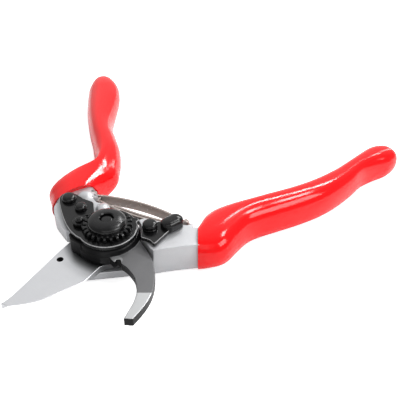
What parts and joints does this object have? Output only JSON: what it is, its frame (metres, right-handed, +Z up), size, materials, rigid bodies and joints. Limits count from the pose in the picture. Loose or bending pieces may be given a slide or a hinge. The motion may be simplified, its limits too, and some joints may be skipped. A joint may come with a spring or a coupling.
{
  "type": "bypass pruning shears",
  "caption": "Open bypass pruning shears: two red-coated handles on a toothed pivot nut, cutting blade, hooked counter blade, leaf spring between the handles and a thumb catch.",
  "frame": {"origin": "on the pivot axis, at the flat underside of the centre bolt's head", "axes": "+Z up along the pivot axis, towards the toothed nut; +X along the bare arm of the handle that carries the cutting blade; the jaws point towards -Y"},
  "size_m": [0.1852, 0.2038, 0.0254],
  "materials": {
    "red_coating": "glossy dipped vinyl",
    "forged_aluminium": "satin, blasted",
    "blade_steel": "satin, ground",
    "black_steel": "black, semi-gloss",
    "spring_steel": "plain spring strip",
    "bearing_bronze": "plain machined bronze"
  },
  "bodies": {
    "blade_handle": {"blade_handle_forging": "forged_aluminium", "blade_handle_grip": "red_coating", "cutting_blade": "blade_steel", "blade_screw": "black_steel", "pivot_bush": "bearing_bronze", "catch_screw": "black_steel", "catch_washer": "spring_steel", "blade_spring_pin": "spring_steel"},
    "hook_handle": {"hook_handle_forging": "forged_aluminium", "hook_handle_grip": "red_coating", "counter_blade": "black_steel", "hinge_plate": "black_steel", "centre_bolt": "black_steel", "toothed_nut": "black_steel", "locking_segment": "black_steel", "segment_screw": "black_steel", "thrust_washer": "bearing_bronze", "plate_rivet_outer": "black_steel", "plate_rivet_inner": "black_steel", "hook_spring_pin": "spring_steel", "spring_outer_leaf": "spring_steel", "spring_inner_leaf": "spring_steel", "spring_helper_leaf": "spring_steel"},
    "catch": {"catch_lever": "black_steel"}
  },
  "joints": [
    {"name": "pivot", "type": "hinge", "parent": "blade_handle", "child": "hook_handle", "pos_m": [0, 0, 0.01], "axis": [0, 0, -1], "range_deg": [0, 56], "stiffness_Nm_per_rad": 1.2, "springref_deg": -22.92, "deforming": ["spring_outer_leaf", "spring_inner_leaf", "spring_helper_leaf"]},
    {"name": "catch", "type": "hinge", "parent": "blade_handle", "child": "catch", "pos_m": [0.0188, -0.0003, 0.0185], "axis": [0, 0, -1], "range_deg": [0, 15]}
  ]
}
